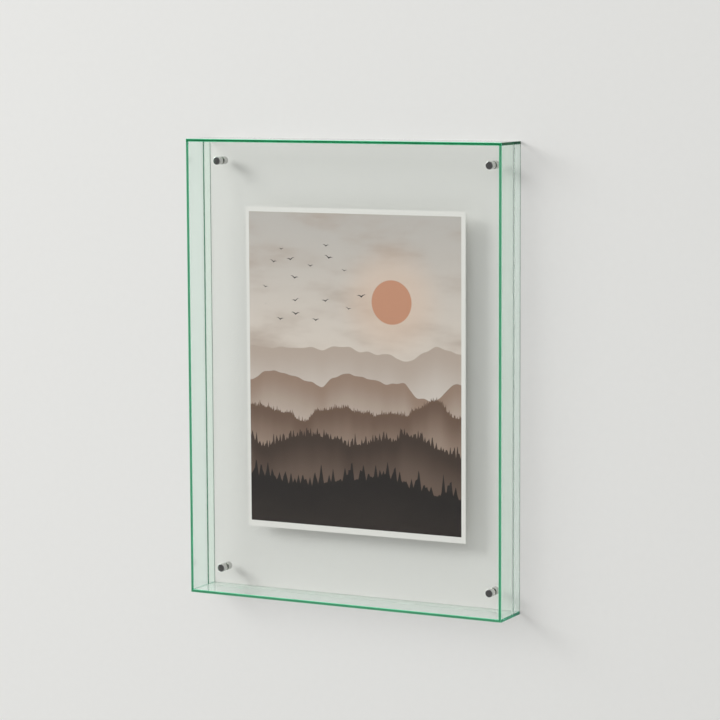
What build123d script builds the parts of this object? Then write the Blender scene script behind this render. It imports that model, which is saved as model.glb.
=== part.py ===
from build123d import *
import os

# A wall-hung clip frame of clear acrylic. Two shallow trays stand back to back, a print is pressed between
# their panes, and pairs of disc magnets near the corners hold the trays together.
# X runs to the viewer's right, Y into the wall and Z up. The origin is the point where a nail in the wall
# carries the frame: the middle of the rear top wall's underside, in the plane of the wall.

# Driving dimensions, in millimetres
frame_width = 300.0
frame_height = 400.0
wall_thickness = 2.5
front_tray_depth = 26.5
rear_tray_depth = 12.7
front_pane_thickness = 1.5
rear_pane_thickness = 1.5
edge_break = 0.4
print_width = 211.0
print_height = 282.0
print_thickness = 0.3
magnet_diameter = 7.0
magnet_length = 6.0
magnet_rim_break = 0.4
magnet_inset = 19.7

# Planes that the pieces share
wall_plane_y = 0.0
rear_seam_y = wall_plane_y - rear_tray_depth
front_seam_y = rear_seam_y - print_thickness
front_rim_y = front_seam_y - front_tray_depth
front_pane_y = front_seam_y - front_pane_thickness
rear_pane_y = rear_seam_y + rear_pane_thickness

opening_top_z = 0.0
frame_top_z = opening_top_z + wall_thickness
frame_bottom_z = frame_top_z - frame_height
opening_bottom_z = frame_bottom_z + wall_thickness
centre_z = (frame_top_z + frame_bottom_z) / 2
frame_side_x = frame_width / 2
opening_side_x = frame_side_x - wall_thickness
opening_width = 2 * opening_side_x
opening_height = opening_top_z - opening_bottom_z


def strip(depth, length):
    """A wall strip along Z, its outer face at +X and its rim at -Y. Each long edge but the pane's is broken."""
    section = Rectangle(wall_thickness, depth)
    pane_corner = (-wall_thickness / 2, depth / 2, 0)
    broken_corners = section.vertices().sort_by_distance(pane_corner)[1:]
    section = chamfer(broken_corners, edge_break)
    return Pos(0, 0, -length / 2) * extrude(section, length)


def walls(prefix, rim_y, seam_y):
    """The four walls of a tray. The top and bottom ones run the full width, the sides stand between them."""
    depth = abs(seam_y - rim_y)
    middle_y = (rim_y + seam_y) / 2
    facing = Rot(0, 0, 0) if seam_y > rim_y else Rot(180, 0, 0)
    side = facing * strip(depth, opening_height)
    level = facing * strip(depth, frame_width)
    side_x = frame_side_x - wall_thickness / 2
    top_z = frame_top_z - wall_thickness / 2
    bottom_z = frame_bottom_z + wall_thickness / 2
    return {
        prefix + "_top_wall": Pos(0, middle_y, top_z) * Rot(0, -90, 0) * level,
        prefix + "_bottom_wall": Pos(0, middle_y, bottom_z) * Rot(0, 90, 0) * level,
        prefix + "_left_wall": Pos(-side_x, middle_y, centre_z) * mirror(side, Plane.YZ),
        prefix + "_right_wall": Pos(side_x, middle_y, centre_z) * side,
    }


def sheet(width, height, near_y, far_y):
    """A flat sheet parallel to the wall, centred in the frame."""
    return Pos(0, (near_y + far_y) / 2, centre_z) * Box(width, abs(far_y - near_y), height)


def magnets(prefix, near_y):
    """Four disc magnets with bevelled rims, one near each corner, whose nearer ends lie at near_y."""
    disc = Cylinder(magnet_diameter / 2, magnet_length)
    disc = chamfer(disc.edges().filter_by(GeomType.CIRCLE), magnet_rim_break)
    disc = Rot(90, 0, 0) * disc
    middle_y = near_y + magnet_length / 2
    across = {"left": -frame_side_x + magnet_inset, "right": frame_side_x - magnet_inset}
    heights = {"top": frame_top_z - magnet_inset, "bottom": frame_bottom_z + magnet_inset}
    return {
        f"{prefix}_magnet_{level}_{side}": Pos(x, middle_y, z) * disc
        for level, z in heights.items()
        for side, x in across.items()
    }


pieces = {
    **walls("front", front_rim_y, front_seam_y),
    "front_pane": sheet(opening_width, opening_height, front_pane_y, front_seam_y),
    **magnets("front", front_pane_y - magnet_length),
    "print": sheet(print_width, print_height, front_seam_y, rear_seam_y),
    **walls("rear", wall_plane_y, rear_seam_y),
    "rear_pane": sheet(opening_width, opening_height, rear_seam_y, rear_pane_y),
    **magnets("rear", rear_pane_y),
}

os.makedirs("parts", exist_ok=True)
for name, piece in pieces.items():
    export_step(piece, f"parts/{name}.step")
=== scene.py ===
# The looks of a wall-hung clip frame: two clear acrylic trays, a print between them, and corner magnets.
import math
from typing import NamedTuple

import bmesh
import bpy
from mathutils import Matrix, Vector


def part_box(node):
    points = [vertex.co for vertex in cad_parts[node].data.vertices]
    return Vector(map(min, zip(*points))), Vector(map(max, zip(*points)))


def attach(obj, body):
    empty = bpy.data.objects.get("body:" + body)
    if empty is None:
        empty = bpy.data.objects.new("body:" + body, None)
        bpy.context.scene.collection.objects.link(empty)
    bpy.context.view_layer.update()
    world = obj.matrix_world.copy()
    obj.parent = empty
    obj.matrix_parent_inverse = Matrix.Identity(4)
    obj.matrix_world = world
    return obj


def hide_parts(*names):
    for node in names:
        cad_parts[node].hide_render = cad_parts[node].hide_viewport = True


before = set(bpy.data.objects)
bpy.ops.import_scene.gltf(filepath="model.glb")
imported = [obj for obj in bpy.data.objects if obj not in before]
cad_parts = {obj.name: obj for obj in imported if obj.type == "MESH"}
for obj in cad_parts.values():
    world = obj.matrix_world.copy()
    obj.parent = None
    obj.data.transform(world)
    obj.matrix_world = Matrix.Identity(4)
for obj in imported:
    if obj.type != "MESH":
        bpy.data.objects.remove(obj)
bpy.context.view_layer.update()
scene = bpy.context.scene

# Units and small sizes of the finished pieces, in metres
MM = 0.001
EDGE_BREAK = 0.4 * MM
PANE_BITE = 0.05 * MM
GLUE_LINE = 0.02 * MM
PAPER_SLACK = 0.05 * MM
MAGNET_RIM_RADIUS = 0.45 * MM
MAGNET_SEGMENTS = 64
RIM_STEPS = 5
SHARP_ANGLE = math.radians(40)
WELD = 0.001 * MM

# Shares of an axis in a face's normal, from which the face looks along it, slopes to it or is an end
SQUARE_ON = 0.9
SLOPING = 0.3
ENDWAYS = 0.6

# Places that the frame gives
front_top_low, front_top_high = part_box("front_top_wall")
rear_top_low, rear_top_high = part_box("rear_top_wall")
bottom_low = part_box("front_bottom_wall")[0]
frame_left, frame_right = front_top_low.x, front_top_high.x
frame_bottom, frame_top = bottom_low.z, front_top_high.z
wall_thickness = front_top_high.z - front_top_low.z
side_top, side_bottom = frame_top - wall_thickness, frame_bottom + wall_thickness
front_rim_y, front_seam_y = front_top_low.y, front_top_high.y
rear_seam_y, back_y = rear_top_low.y, rear_top_high.y
front_centre = Vector(((frame_left + frame_right) / 2, front_rim_y, (frame_bottom + frame_top) / 2))


def srgb(red, green, blue):
    """A colour as it shows on a screen, 0 to 255, as the linear colour that a shader takes."""
    def linear(level):
        share = level / 255
        return share / 12.92 if share <= 0.04045 else ((share + 0.055) / 1.055) ** 2.4

    return (linear(red), linear(green), linear(blue), 1.0)


def grey(level):
    """A linear grey as a colour that a shader takes."""
    return (level, level, level, 1.0)


class Graph:
    """Short ways to wire the nodes of one material or world. A value is a socket, a number or a colour."""

    def __init__(self, owner):
        owner.use_nodes = True
        self.tree = owner.node_tree

    def node(self, kind, **settings):
        made = self.tree.nodes.new(kind)
        for name, value in settings.items():
            setattr(made, name, value)
        return made

    def put(self, socket, value):
        if isinstance(value, bpy.types.NodeSocket):
            self.tree.links.new(value, socket)
        else:
            socket.default_value = value

    def math(self, operation, first, second=0.0, third=0.0):
        made = self.node("ShaderNodeMath", operation=operation)
        for socket, value in zip(made.inputs, (first, second, third)):
            self.put(socket, value)
        return made.outputs["Value"]

    def product(self, first, second):
        return self.math("MULTIPLY", first, second)

    def step(self, value, low, high):
        """0 below low, 1 above high, smooth between."""
        made = self.node("ShaderNodeMapRange", interpolation_type="SMOOTHSTEP")
        self.put(made.inputs["Value"], value)
        self.put(made.inputs["From Min"], low)
        self.put(made.inputs["From Max"], high)
        return made.outputs["Result"]

    def spread(self, value, low, high):
        """A 0 to 1 value spread from low to high."""
        return self.math("MULTIPLY_ADD", value, high - low, low)

    def blend(self, share, under, over):
        """The colour over laid on the colour under, by share."""
        made = self.node("ShaderNodeMixRGB")
        self.put(made.inputs["Fac"], share)
        self.put(made.inputs["Color1"], under)
        self.put(made.inputs["Color2"], over)
        return made.outputs["Color"]

    def mix_shaders(self, share, under, over):
        """The shader over laid on the shader under, by share."""
        made = self.node("ShaderNodeMixShader")
        self.put(made.inputs["Fac"], share)
        self.put(made.inputs[1], under)
        self.put(made.inputs[2], over)
        return made.outputs["Shader"]

    def axes(self, vector):
        made = self.node("ShaderNodeSeparateXYZ")
        self.put(made.inputs["Vector"], vector)
        return made.outputs["X"], made.outputs["Y"], made.outputs["Z"]

    def vector(self, x, y, z):
        made = self.node("ShaderNodeCombineXYZ")
        for socket, value in zip(made.inputs, (x, y, z)):
            self.put(socket, value)
        return made.outputs["Vector"]

    def along(self, vector, way):
        """How far a vector goes along a way."""
        made = self.node("ShaderNodeVectorMath", operation="DOT_PRODUCT")
        self.put(made.inputs[0], vector)
        self.put(made.inputs[1], way)
        return made.outputs["Value"]

    def noise(self, vector, scale, detail, roughness=0.5):
        made = self.node("ShaderNodeTexNoise")
        self.put(made.inputs["Vector"], vector)
        made.inputs["Scale"].default_value = scale
        made.inputs["Detail"].default_value = detail
        made.inputs["Roughness"].default_value = roughness
        return made.outputs["Fac"]

    def noise_line(self, place, detail):
        """Noise along one line, at the given place."""
        made = self.node("ShaderNodeTexNoise", noise_dimensions="1D")
        self.put(made.inputs["W"], place)
        made.inputs["Scale"].default_value = 1.0
        made.inputs["Detail"].default_value = detail
        return made.outputs["Fac"]

    def bump(self, height, strength, distance):
        made = self.node("ShaderNodeBump")
        self.put(made.inputs["Height"], height)
        made.inputs["Strength"].default_value = strength
        made.inputs["Distance"].default_value = distance
        return made.outputs["Normal"]

    def object_place(self):
        return self.node("ShaderNodeTexCoord").outputs["Object"]


def new_material(name):
    material = bpy.data.materials.new(name)
    graph = Graph(material)
    return material, graph, graph.tree.nodes["Principled BSDF"], graph.tree.nodes["Material Output"]


# Acrylic. Its greens are linear colours.
ACRYLIC_IOR = 1.49
COATED_IOR = 1.3
DULL_IOR = 1.2
HEAD_ON_MIRROR = ((ACRYLIC_IOR - 1) / (ACRYLIC_IOR + 1)) ** 2
MIRROR_BLUR = 0.05
EDGE_GLARE = 0.15
CLOUD_GAIN = 1.4
FINE_GRAIN = 0.01 * MM
COARSE_GRAIN = 0.02 * MM
GREEN_CAST = (0.89, 1.0, 0.945, 1)
CLEAR_CAST = (0.99, 1.0, 0.985, 1)
EMERALD = (0.03, 0.43, 0.2, 1)
# Partly painted light: the sawn front rims of the side and bottom walls are paler than the top wall's, as if
# lit
SAWN_LIT_GREEN = (0.07, 0.335, 0.178, 1)
# Painted contact shade: the back rim, where the frame meets the wall
SHADED_GREEN = (0.045, 0.17, 0.11, 1)
# Painted light on the end faces: dark shade on the top walls' ends, a bright green glow on the bottom walls'
TOP_END_SHADE_GREEN = (0.004, 0.06, 0.03, 1)
BOTTOM_END_GLOW_GREEN = (0.006, 0.25, 0.115, 1)
# Painted glow: the front bevels' pale mint stands in for light refracted through the chamfers
MINT_GLOW = (0.16, 0.66, 0.39, 1)
PALE_GREEN = (0.78, 0.9, 0.84, 1)
# Painted shade: the panes' left edges, which show as a dark line at the left seam
DEEP_SHADE_GREEN = (0.035, 0.2, 0.12, 1)


def pass_lamplight(graph, shader, output, kept, mirroring=0.0, spared=0.0, bounced=True):
    """Lets lamplight go straight through a face: kept of it, less what the face mirrors, which is mirroring
    times its Fresnel share above spared. If bounced is true, light off other surfaces goes through too."""
    path = graph.node("ShaderNodeLightPath")
    lamp_ray = path.outputs["Is Shadow Ray"]
    if bounced:
        lamp_ray = graph.math("MAXIMUM", lamp_ray, path.outputs["Is Diffuse Ray"])
    clear = graph.node("ShaderNodeBsdfTransparent")
    clear.inputs["Color"].default_value = grey(kept)
    passing = clear.outputs["BSDF"]
    if mirroring:
        inside = graph.node("ShaderNodeNewGeometry").outputs["Backfacing"]
        fresnel = graph.node("ShaderNodeFresnel")
        graph.put(fresnel.inputs["IOR"], graph.spread(inside, ACRYLIC_IOR, 1 / ACRYLIC_IOR))
        beyond = graph.math("MAXIMUM", graph.math("SUBTRACT", fresnel.outputs["Fac"], spared), 0.0)
        mirror = graph.node("ShaderNodeBsdfAnisotropic")
        mirror.inputs["Roughness"].default_value = MIRROR_BLUR
        passing = graph.mix_shaders(graph.product(beyond, mirroring), passing, mirror.outputs["BSDF"])
    surface = graph.mix_shaders(lamp_ray, shader.outputs["BSDF"], passing)
    graph.put(output.inputs["Surface"], surface)


def polished(name, cast, haze, ior, glare, mirroring, spared=0.0):
    """A polished face of clear acrylic with a cast of colour, faint smears and a slight wave. haze is the
    share of light that dust and scratches scatter, glare the share of its mirror image that it keeps."""
    material, graph, shader, output = new_material(name)
    shader.inputs["Base Color"].default_value = cast
    shader.inputs["Specular Tint"].default_value = grey(glare)
    shader.inputs["IOR"].default_value = ior
    shader.inputs["Transmission Weight"].default_value = 1.0 - haze
    place = graph.object_place()
    smears = graph.noise(place, scale=22.0, detail=5.0, roughness=0.6)
    smeared = graph.step(smears, low=0.45, high=0.8)
    graph.put(shader.inputs["Roughness"], graph.spread(smeared, low=0.0, high=0.012))
    waves = graph.noise(place, scale=18.0, detail=1.0)
    graph.put(shader.inputs["Normal"], graph.bump(waves, strength=0.05, distance=0.02 * MM))
    pass_lamplight(graph, shader, output, 1.0, mirroring, spared)
    return material


def cut_edge(name, tint, clear, kept, roughness, grain, ior=ACRYLIC_IOR):
    """A cut edge of acrylic that scatters some light: tint is its colour, clear the share that goes through,
    kept that share for lamplight, grain the depth of its cutter marks."""
    material, graph, shader, output = new_material(name)
    place = graph.object_place()
    marks = graph.noise(place, scale=1400.0, detail=3.0, roughness=0.55)
    clouds = graph.noise(place, scale=60.0, detail=3.0)
    pale = tuple(min(CLOUD_GAIN * level, 1.0) for level in tint)
    graph.put(shader.inputs["Base Color"], graph.blend(clouds, tint, pale))
    shader.inputs["IOR"].default_value = ior
    shader.inputs["Specular Tint"].default_value = grey(EDGE_GLARE)
    shader.inputs["Transmission Weight"].default_value = clear
    graph.put(shader.inputs["Roughness"], graph.spread(marks, 0.8 * roughness, 1.2 * roughness))
    graph.put(shader.inputs["Normal"], graph.bump(marks, strength=0.3, distance=grain))
    pass_lamplight(graph, shader, output, kept)
    return material


green_acrylic = polished(
    "green_acrylic", GREEN_CAST, haze=0.05, ior=ACRYLIC_IOR, glare=1.0, mirroring=1.0
)
green_rim = cut_edge(
    "green_acrylic_rim", EMERALD, clear=0.88, kept=1.0, roughness=0.1, grain=FINE_GRAIN
)
# Sawn and rougher, and painted paler than the top rim's emerald, as if lit.
green_sawn_lit = cut_edge(
    "green_acrylic_sawn_lit", SAWN_LIT_GREEN, clear=0.5, kept=1.0, roughness=0.3, grain=COARSE_GRAIN
)
# The back rim's darker green is painted contact shade where it meets the wall.
green_back = cut_edge(
    "green_acrylic_back", SHADED_GREEN, clear=0.7, kept=0.3, roughness=0.1, grain=FINE_GRAIN
)
# The end faces' colours are painted light piped along the walls: dark at the top, bright green at the
# bottom.
green_top_end = cut_edge(
    "green_acrylic_top_end", TOP_END_SHADE_GREEN, clear=0.85, kept=0.3, roughness=0.15, grain=COARSE_GRAIN,
    ior=DULL_IOR,
)
green_bottom_end = cut_edge(
    "green_acrylic_bottom_end", BOTTOM_END_GLOW_GREEN, clear=0.85, kept=0.3, roughness=0.15, grain=COARSE_GRAIN
)
# The front bevels' mint is a painted glow of light refracted through the chamfers.
green_bevel = cut_edge(
    "green_acrylic_bevel", MINT_GLOW, clear=0.25, kept=1.0, roughness=0.2, grain=FINE_GRAIN
)
clear_acrylic = polished(
    "clear_acrylic", CLEAR_CAST, haze=0.0, ior=COATED_IOR, glare=0.1, mirroring=1.15, spared=HEAD_ON_MIRROR
)
pane_edge = cut_edge(
    "clear_acrylic_edge", PALE_GREEN, clear=0.45, kept=1.0, roughness=0.15, grain=FINE_GRAIN
)
# The left edges' deep green is painted shade.
pane_left_edge = cut_edge(
    "clear_acrylic_left_edge", DEEP_SHADE_GREEN, clear=0.35, kept=1.0, roughness=0.15, grain=FINE_GRAIN
)
WALL_FINISHES = (
    green_acrylic, green_rim, green_sawn_lit, green_back, green_top_end, green_bevel, green_bottom_end
)
PANE_FINISHES = (clear_acrylic, pane_edge, pane_left_edge)

# Nickel
DULL_NICKEL = srgb(190, 190, 188)
BRIGHT_NICKEL = srgb(214, 214, 212)
RING_PITCH = 0.22 * MM
RING_DEPTH = 0.3


def nickel():
    """Satin nickel plate with turned rings on the ends and a few dull marks."""
    material, graph, shader, _ = new_material("nickel_plate")
    place = graph.object_place()
    x, _, z = graph.axes(place)
    radius = graph.math("SQRT", graph.math("ADD", graph.product(x, x), graph.product(z, z)))
    turned = graph.math("SINE", graph.product(radius, 2 * math.pi / RING_PITCH))
    marks = graph.noise(place, scale=900.0, detail=4.0, roughness=0.6)
    graph.put(shader.inputs["Base Color"], graph.blend(marks, DULL_NICKEL, BRIGHT_NICKEL))
    shader.inputs["Metallic"].default_value = 1.0
    graph.put(shader.inputs["Roughness"], graph.spread(marks, low=0.08, high=0.2))
    height = graph.math("ADD", graph.product(turned, RING_DEPTH), marks)
    graph.put(shader.inputs["Normal"], graph.bump(height, strength=0.12, distance=0.02 * MM))
    return material


nickel_plate = nickel()

# The print's picture: birds and a low sun over misty wooded hills. Sizes are in millimetres from its middle.
BORDER_LEFT, BORDER_RIGHT, BORDER_TOP, BORDER_BOTTOM = 3.0, 4.0, 4.3, 5.3
BORDER_COLOUR = srgb(240, 240, 236)
PAPER_GLOW = 0.54
PAPER_DULL = srgb(222, 221, 216)
PAPER_BRIGHT = srgb(238, 238, 234)
FIBRE_COLOUR = srgb(120, 116, 110)
FIBRE_SHARE = 0.05
LOW_SKY, HIGH_SKY = srgb(224, 214, 204), srgb(198, 194, 189)
CLOUD_COLOUR = srgb(184, 168, 156)
CLOUD_FLATNESS = 3.0
SUN_PLACE = (36.0, 62.0)
SUN_RADIUS = 19.0
SUN_SOFTNESS = 0.4
SUN_COLOUR = srgb(206, 152, 124)
GLOW_REACH = 3.0
GLOW_SHARE = 0.55
GLOW_COLOUR = srgb(232, 206, 186)
FLOCK_PLACE = (-40.0, 74.0)
FLOCK_REACH = (52.0, 40.0)
BIRD_COLOUR = srgb(38, 33, 32)
BIRD_SPACING = 17.0
BIRD_TILT = 0.3
EMPTY_CELLS = 0.35
WING_BEND, WING_RISE, WING_THICKNESS, WING_SOFTNESS = 2.4, 0.32, 0.16, 0.12
CREST_SOFTNESS = 0.5
FIR_SEED_STEP = 7
FIR_ROWS = ((1.0, 0.42), (0.7, 0.27))


class Ridge(NamedTuple):
    """One row of hills: the mean height and swing of its crest, how long its hills are, its trees' height,
    its colour, and the mist that it fades into and how far below its crest."""
    height: float
    swing: float
    length: float
    seed: float
    trees: float
    colour: tuple
    mist: tuple
    mist_depth: float


RIDGES = (
    Ridge(22.0, 30.0, 105.0, 3.1, 0.0, srgb(190, 174, 162), srgb(216, 207, 199), 46.0),
    Ridge(-6.0, 32.0, 80.0, 11.7, 0.0, srgb(158, 134, 118), srgb(200, 186, 175), 44.0),
    Ridge(-34.0, 26.0, 64.0, 23.4, 4.0, srgb(112, 89, 75), srgb(164, 144, 130), 42.0),
    Ridge(-62.0, 24.0, 72.0, 37.9, 8.0, srgb(66, 52, 45), srgb(112, 94, 83), 42.0),
    Ridge(-98.0, 20.0, 90.0, 51.3, 14.0, srgb(32, 27, 26), srgb(46, 39, 36), 40.0),
)


def crest(graph, across, ridge):
    """The height of a ridge's crest at a place across the picture."""
    place = graph.math("MULTIPLY_ADD", across, 1 / ridge.length, ridge.seed)
    hills = graph.math("SUBTRACT", graph.noise_line(place, detail=3.0), 0.5)
    return graph.math("MULTIPLY_ADD", hills, 2 * ridge.swing, ridge.height)


def fir_tops(graph, across, ridge):
    """How far a ridge's firs stand above its crest: rows of spires, each spire of its own height. A row has
    its own height and spacing, in shares of the trees' height."""
    tops = 0.0
    for share, pitch in FIR_ROWS:
        row = graph.math("MULTIPLY_ADD", across, 1 / (pitch * ridge.trees), ridge.seed * FIR_SEED_STEP)
        off_middle = graph.math("ABSOLUTE", graph.math("MULTIPLY_ADD", graph.math("FRACT", row), 2.0, -1.0))
        tall = graph.node("ShaderNodeTexWhiteNoise", noise_dimensions="1D")
        graph.put(tall.inputs["W"], graph.math("FLOOR", row))
        spire = graph.product(graph.math("SUBTRACT", 1.0, off_middle), tall.outputs["Value"])
        tops = graph.math("MULTIPLY_ADD", spire, share * ridge.trees, tops)
    return tops


def lay_ridge(graph, picture, across, up, ridge):
    """The picture with one more ridge laid on it, which fades into mist below its crest."""
    below = graph.math("SUBTRACT", crest(graph, across, ridge), up)
    faded = graph.step(below, 0.0, ridge.mist_depth)
    colour = graph.blend(faded, ridge.colour, ridge.mist)
    if ridge.trees:
        below = graph.math("ADD", below, fir_tops(graph, across, ridge))
    return graph.blend(graph.step(below, 0.0, CREST_SOFTNESS), picture, colour)


def off_centre(graph, across, up, centre, reach):
    """How far a place is from a centre, in shares of a reach across and a reach up."""
    offsets = [
        graph.math("DIVIDE", graph.math("SUBTRACT", value, middle), length)
        for value, middle, length in zip((across, up), centre, reach)
    ]
    squares = [graph.product(offset, offset) for offset in offsets]
    return graph.math("SQRT", graph.math("ADD", *squares))


def flock(graph, across, up):
    """1 on the birds of a loose flock: one in most cells of an uneven grid, two bent wings each."""
    cells = graph.node("ShaderNodeTexVoronoi", voronoi_dimensions="2D")
    place = graph.vector(across, up, 0.0)
    graph.put(cells.inputs["Vector"], place)
    cells.inputs["Scale"].default_value = 1 / BIRD_SPACING
    from_bird = graph.node("ShaderNodeVectorMath", operation="SUBTRACT")
    graph.put(from_bird.inputs[0], place)
    graph.put(from_bird.inputs[1], cells.outputs["Position"])
    aside, above, _ = graph.axes(from_bird.outputs["Vector"])
    pick, size, tilt = graph.axes(cells.outputs["Color"])
    half_span = graph.spread(size, low=2.6, high=5.2)
    out = graph.math("DIVIDE", graph.math("ABSOLUTE", aside), half_span)
    lean = graph.product(graph.spread(tilt, -BIRD_TILT, BIRD_TILT), aside)
    bend = graph.math("SINE", graph.product(out, WING_BEND))
    arch = graph.product(bend, graph.product(half_span, WING_RISE))
    off_wing = graph.math("ABSOLUTE", graph.math("SUBTRACT", graph.math("SUBTRACT", above, lean), arch))
    taper = graph.math("SUBTRACT", 1.0, out)
    thick = graph.product(taper, graph.product(half_span, WING_THICKNESS))
    wings = graph.step(graph.math("SUBTRACT", thick, off_wing), 0.0, WING_SOFTNESS)
    near = graph.math("LESS_THAN", off_centre(graph, across, up, FLOCK_PLACE, FLOCK_REACH), 1.0)
    there = graph.product(near, graph.math("GREATER_THAN", pick, EMPTY_CELLS))
    return graph.product(wings, there)


def landscape(graph, x, z):
    """The colour of the picture at a place on the paper, in metres from its middle."""
    across = graph.math("DIVIDE", x, MM)
    up = graph.math("DIVIDE", z, MM)
    flattened = graph.vector(x, graph.product(z, CLOUD_FLATNESS), 0.0)
    streaks = graph.noise(flattened, scale=9.0, detail=4.0, roughness=0.55)
    sky = graph.blend(graph.step(up, low=10.0, high=150.0), LOW_SKY, HIGH_SKY)
    picture = graph.blend(graph.step(streaks, low=0.42, high=0.75), sky, CLOUD_COLOUR)
    away = off_centre(graph, across, up, SUN_PLACE, (1.0, 1.0))
    glow = graph.product(graph.step(away, GLOW_REACH * SUN_RADIUS, SUN_RADIUS), GLOW_SHARE)
    picture = graph.blend(glow, picture, GLOW_COLOUR)
    sun = graph.step(away, SUN_RADIUS + SUN_SOFTNESS, SUN_RADIUS - SUN_SOFTNESS)
    picture = graph.blend(sun, picture, SUN_COLOUR)
    picture = graph.blend(flock(graph, across, up), picture, BIRD_COLOUR)
    for ridge in RIDGES:
        picture = lay_ridge(graph, picture, across, up, ridge)
    return picture


def printed_face(half_width, half_height):
    """Semi-gloss paper with the printed picture and a bare border."""
    material, graph, shader, output = new_material("print_picture")
    place = graph.object_place()
    x, _, z = graph.axes(place)
    picture = landscape(graph, x, z)
    edges = (
        graph.math("LESS_THAN", x, BORDER_LEFT * MM - half_width),
        graph.math("GREATER_THAN", x, half_width - BORDER_RIGHT * MM),
        graph.math("GREATER_THAN", z, half_height - BORDER_TOP * MM),
        graph.math("LESS_THAN", z, BORDER_BOTTOM * MM - half_height),
    )
    for edge in edges:
        picture = graph.blend(edge, picture, BORDER_COLOUR)
    fibres = graph.noise(place, scale=1500.0, detail=3.0)
    picture = graph.blend(graph.product(fibres, FIBRE_SHARE), picture, FIBRE_COLOUR)
    graph.put(shader.inputs["Base Color"], picture)
    graph.put(shader.inputs["Roughness"], graph.spread(fibres, low=0.32, high=0.48))
    graph.put(shader.inputs["Normal"], graph.bump(fibres, strength=0.08, distance=0.02 * MM))
    pass_lamplight(graph, shader, output, PAPER_GLOW, bounced=False)
    return material


def bare_paper():
    """The paper's bare back and edges, with a fine fibre."""
    material, graph, shader, output = new_material("print_paper_back")
    fibres = graph.noise(graph.object_place(), scale=1100.0, detail=4.0, roughness=0.6)
    graph.put(shader.inputs["Base Color"], graph.blend(fibres, PAPER_DULL, PAPER_BRIGHT))
    graph.put(shader.inputs["Roughness"], graph.spread(fibres, low=0.6, high=0.8))
    graph.put(shader.inputs["Normal"], graph.bump(fibres, strength=0.15, distance=0.03 * MM))
    pass_lamplight(graph, shader, output, PAPER_GLOW, bounced=False)
    return material


def link_mesh(name, mesh_data, materials):
    """An object made of a bmesh, which is freed."""
    mesh = bpy.data.meshes.new(name)
    mesh_data.to_mesh(mesh)
    mesh_data.free()
    for material in materials:
        mesh.materials.append(material)
    made = bpy.data.objects.new(name, mesh)
    scene.collection.objects.link(made)
    return made


def closed_piece(name, mesh_data, materials, pick=None):
    """A piece made of a closed bmesh. pick gives a face's material, which is one of the materials."""
    bmesh.ops.recalc_face_normals(mesh_data, faces=mesh_data.faces)
    if pick:
        mesh_data.normal_update()
        for face in mesh_data.faces:
            face.material_index = materials.index(pick(face))
    return link_mesh(name, mesh_data, materials)


def place_piece(piece, body, slot, *nodes):
    """The piece rides on a body and stands for these nodes. slot is not used."""
    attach(piece, body)
    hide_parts(*nodes)


def wall_finish(face):
    """The finish of a wall's face, by where it lies and where it looks. Some finishes carry painted light
    and shade.
    """
    middle = face.calc_center_median()
    at_front = abs(middle.y - front_rim_y) < EDGE_BREAK
    if abs(face.normal.y) > SQUARE_ON:
        # The back rim takes the painted contact shade.
        if abs(middle.y - back_y) < EDGE_BREAK:
            return green_back
        # Front rims of the side and bottom walls are sawn and painted paler, as if lit; the top one keeps
        # the darker emerald.
        return green_sawn_lit if at_front and middle.z < side_top else green_rim
    # Front bevels take the painted mint glow.
    if abs(face.normal.y) > SLOPING and at_front:
        return green_bevel
    # End faces take painted light: dark at the top, bright green at the bottom.
    at_end = abs(face.normal.x) > ENDWAYS and not side_bottom < middle.z < side_top
    if at_end:
        return green_top_end if middle.z > side_top else green_bottom_end
    return green_acrylic


def tray_walls(name, rim_y, seam_y):
    """A tray's four bonded walls as one clear body, with broken edges and mitred corners. The edges where
    the top and bottom walls meet the side walls are cut in, so that the end faces take their own painted
    light: dark at the top, bright green at the bottom."""
    inward = math.copysign(EDGE_BREAK, seam_y - rim_y)
    section = (
        (0.0, rim_y + inward),
        (EDGE_BREAK, rim_y),
        (wall_thickness - EDGE_BREAK, rim_y),
        (wall_thickness, rim_y + inward),
        (wall_thickness, seam_y),
        (EDGE_BREAK, seam_y),
        (0.0, seam_y - inward),
    )
    ring = bmesh.new()
    loops = []
    for inset, y in section:
        left, right = frame_left + inset, frame_right - inset
        bottom, top = frame_bottom + inset, frame_top - inset
        corners = ((left, bottom), (right, bottom), (right, top), (left, top))
        loops.append([ring.verts.new((x, y, z)) for x, z in corners])
    for loop, following in zip(loops, loops[1:] + loops[:1]):
        for corner in range(len(loop)):
            after = (corner + 1) % len(loop)
            ring.faces.new((loop[corner], loop[after], following[after], following[corner]))
    for cut in (side_top, side_bottom):
        parts = ring.verts[:] + ring.edges[:] + ring.faces[:]
        bmesh.ops.bisect_plane(ring, geom=parts, plane_co=(0, 0, cut), plane_no=(0, 0, 1), dist=WELD)
    return closed_piece(name, ring, WALL_FINISHES, wall_finish)


def box_mesh(low, high):
    """A closed box as a bmesh."""
    box = bmesh.new()
    bmesh.ops.create_cube(box, size=1.0)
    middle = (low + high) / 2
    size = high - low
    for vertex in box.verts:
        vertex.co = middle + Vector(part * length for part, length in zip(vertex.co, size))
    return box


def pane_finish(face):
    """The finish of a pane's face: polished on both sides, cut on the edges, with painted shade making the
    left one deep green.
    """
    if abs(face.normal.y) > SQUARE_ON:
        return clear_acrylic
    return pane_left_edge if face.normal.x < -SQUARE_ON else pane_edge


def clear_pane(name, node):
    """A pane that the cement melts a hair into the walls."""
    low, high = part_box(node)
    bite = Vector((PANE_BITE, 0.0, PANE_BITE))
    return closed_piece(name, box_mesh(low - bite, high + bite), PANE_FINISHES, pane_finish)


def print_sheet():
    """The paper, a little thinner than the room between the panes."""
    low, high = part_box("print")
    half = (high - low) / 2
    slack = Vector((0.0, PAPER_SLACK, 0.0))
    bare = bare_paper()
    printed = printed_face(half.x, half.z)

    def finish(face):
        return printed if face.normal.y < -SQUARE_ON else bare

    sheet = closed_piece("print_sheet", box_mesh(slack - half, half - slack), (bare, printed), finish)
    sheet.location = (low + high) / 2
    return sheet


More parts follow.
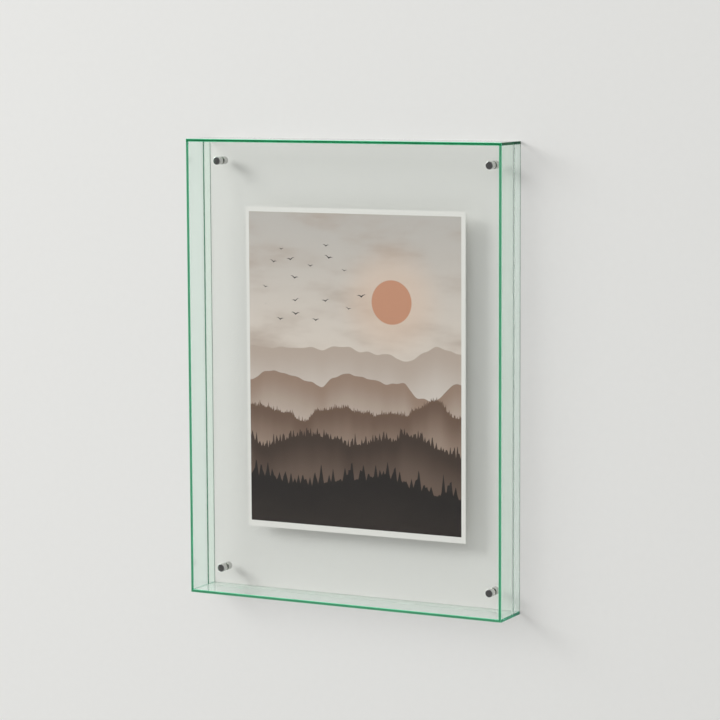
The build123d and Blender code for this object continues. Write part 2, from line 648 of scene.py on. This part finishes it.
def magnet(name, node, pane_side):
    """A turned disc with rounded rims, bonded to its pane on the side given along Y."""
    low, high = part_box(node)
    middle = (low + high) / 2
    radius = (high.x - low.x) / 2
    half = (high.y - low.y) / 2
    outline = [(0.0, -half)]
    for end in (-1, 1):
        for step in range(RIM_STEPS + 1):
            turn = math.pi / 2 * (step / RIM_STEPS if end < 0 else 1 - step / RIM_STEPS)
            reach = radius - MAGNET_RIM_RADIUS * (1 - math.sin(turn))
            outline.append((reach, end * (half - MAGNET_RIM_RADIUS * (1 - math.cos(turn)))))
    outline.append((0.0, half))
    disc = bmesh.new()
    line = [disc.verts.new((reach, y, 0.0)) for reach, y in outline]
    edges = [disc.edges.new(pair) for pair in zip(line, line[1:])]
    bmesh.ops.spin(
        disc, geom=line + edges, cent=(0, 0, 0), axis=(0, 1, 0), angle=2 * math.pi, steps=MAGNET_SEGMENTS
    )
    bmesh.ops.remove_doubles(disc, verts=disc.verts, dist=WELD)
    for face in disc.faces:
        face.smooth = True
    piece = closed_piece(name, disc, (nickel_plate,))
    piece.data.set_sharp_from_angle(angle=SHARP_ANGLE)
    piece.location = middle - Vector((0, pane_side * GLUE_LINE, 0))
    return piece


def build_tray(side, rim_y, seam_y, pane_side):
    """One tray: its walls, its pane and its four magnets."""
    body = f"{side}_tray"
    wall_nodes = [f"{side}_{part}_wall" for part in ("top", "bottom", "left", "right")]
    place_piece(tray_walls(f"{side}_walls", rim_y, seam_y), body, "green_acrylic", *wall_nodes)
    pane_node = f"{side}_pane"
    place_piece(clear_pane(f"{side}_pane_sheet", pane_node), body, "clear_acrylic", pane_node)
    for level in ("top", "bottom"):
        for hand in ("left", "right"):
            node = f"{side}_magnet_{level}_{hand}"
            place_piece(magnet(f"{side}_disc_{level}_{hand}", node, pane_side), body, "nickel_magnet", node)


# Stage: a pale wall that shows only from the room's side
WALL_REACH = 4.0
WALL_GAP = 0.2 * MM
PAINT_DULL = (0.82, 0.82, 0.805, 1)
PAINT_BRIGHT = (0.84, 0.84, 0.825, 1)


def wall_paint():
    """Matt off-white paint. Its far side is clear, so that the frame can be seen from behind."""
    material, graph, shader, output = new_material("wall_paint")
    roller = graph.noise(graph.object_place(), scale=160.0, detail=3.0)
    graph.put(shader.inputs["Base Color"], graph.blend(roller, PAINT_DULL, PAINT_BRIGHT))
    shader.inputs["Roughness"].default_value = 0.9
    shader.inputs["Specular IOR Level"].default_value = 0.2
    behind = graph.node("ShaderNodeNewGeometry").outputs["Backfacing"]
    clear = graph.node("ShaderNodeBsdfTransparent")
    surface = graph.mix_shaders(behind, shader.outputs["BSDF"], clear.outputs["BSDF"])
    graph.put(output.inputs["Surface"], surface)
    return material


def add_wall():
    """The wall, a hair behind the frame."""
    sheet = bmesh.new()
    corners = ((-1, -1), (1, -1), (1, 1), (-1, 1))
    y = back_y + WALL_GAP
    sheet.faces.new([sheet.verts.new((x * WALL_REACH, y, z * WALL_REACH)) for x, z in corners])
    link_mesh("wall", sheet, (wall_paint(),))


# Camera, to the right of the frame and a little above it. Its lens and sensor are in millimetres.
CAMERA_AZIMUTH = math.radians(27.06)
CAMERA_ELEVATION = math.radians(6.59)
CAMERA_ROLL = math.radians(-0.28)
CAMERA_DISTANCE = 2.30795
AIM_RIGHT, AIM_UP = 16.84 * MM, 13.69 * MM
LENS = 135.5
SENSOR = 36.0


def add_camera():
    """The camera, which looks past the middle of the front by the aim's distances."""
    turn = Matrix.Rotation(CAMERA_AZIMUTH, 4, "Z")
    tilt = Matrix.Rotation(math.pi / 2 - CAMERA_ELEVATION, 4, "X")
    roll = Matrix.Rotation(CAMERA_ROLL, 4, "Z")
    facing = turn @ tilt @ roll
    offset = facing @ Vector((AIM_RIGHT, AIM_UP, CAMERA_DISTANCE))
    lens = bpy.data.cameras.new("camera")
    lens.lens = LENS
    lens.sensor_width = SENSOR
    camera = bpy.data.objects.new("camera", lens)
    camera.matrix_world = Matrix.Translation(front_centre + offset) @ facing
    scene.collection.objects.link(camera)
    scene.camera = camera


# Light: a soft lamp high on the left, and a room that is brightest there and dim to the front left
LAMP_PLACE = Vector((-4.0, -2.7, 2.4))
LAMP_SIZE = 2.4
LAMP_POWER = 162
BRIGHT_WAY = Vector((-0.75, 0.0, 0.66))
BRIGHT_LEVEL = (1.1, 1.1, 1.09, 1)
FAR_LEVEL = (0.4, 0.4, 0.39, 1)
DIM_WAY = Vector((-0.42, -0.90, -0.11))
DIM_CORE = math.radians(14)
DIM_EDGE = math.radians(34)
DIM_LEVEL = (0.11, 0.11, 0.11, 1)


def add_room_light():
    """The light of the room from all sides."""
    world = bpy.data.worlds.new("room")
    scene.world = world
    graph = Graph(world)
    facing = graph.node("ShaderNodeTexCoord").outputs["Generated"]
    dimmed = graph.step(graph.along(facing, DIM_WAY), math.cos(DIM_EDGE), math.cos(DIM_CORE))
    brightened = graph.step(graph.along(facing, BRIGHT_WAY), -1.0, 1.0)
    level = graph.blend(dimmed, graph.blend(brightened, FAR_LEVEL, BRIGHT_LEVEL), DIM_LEVEL)
    graph.put(graph.tree.nodes["Background"].inputs["Color"], level)


def add_lamp():
    """The lamp, which looks at the middle of the front."""
    lamp = bpy.data.lights.new("key", "AREA")
    lamp.energy = LAMP_POWER
    lamp.shape = "DISK"
    lamp.size = LAMP_SIZE
    made = bpy.data.objects.new("key", lamp)
    made.location = front_centre + LAMP_PLACE
    made.rotation_euler = (-LAMP_PLACE).to_track_quat("-Z", "Y").to_euler()
    scene.collection.objects.link(made)


build_tray("front", front_rim_y, front_seam_y, 1)
place_piece(print_sheet(), "print", "print_paper", "print")
build_tray("rear", back_y, rear_seam_y, -1)
add_wall()
add_camera()
add_room_light()
add_lamp()

# Light runs along the acrylic's edges by many reflections
scene.cycles.max_bounces = 40
scene.cycles.glossy_bounces = 32
scene.cycles.transmission_bounces = 32
scene.cycles.transparent_max_bounces = 40
scene.view_settings.view_transform = "Standard"
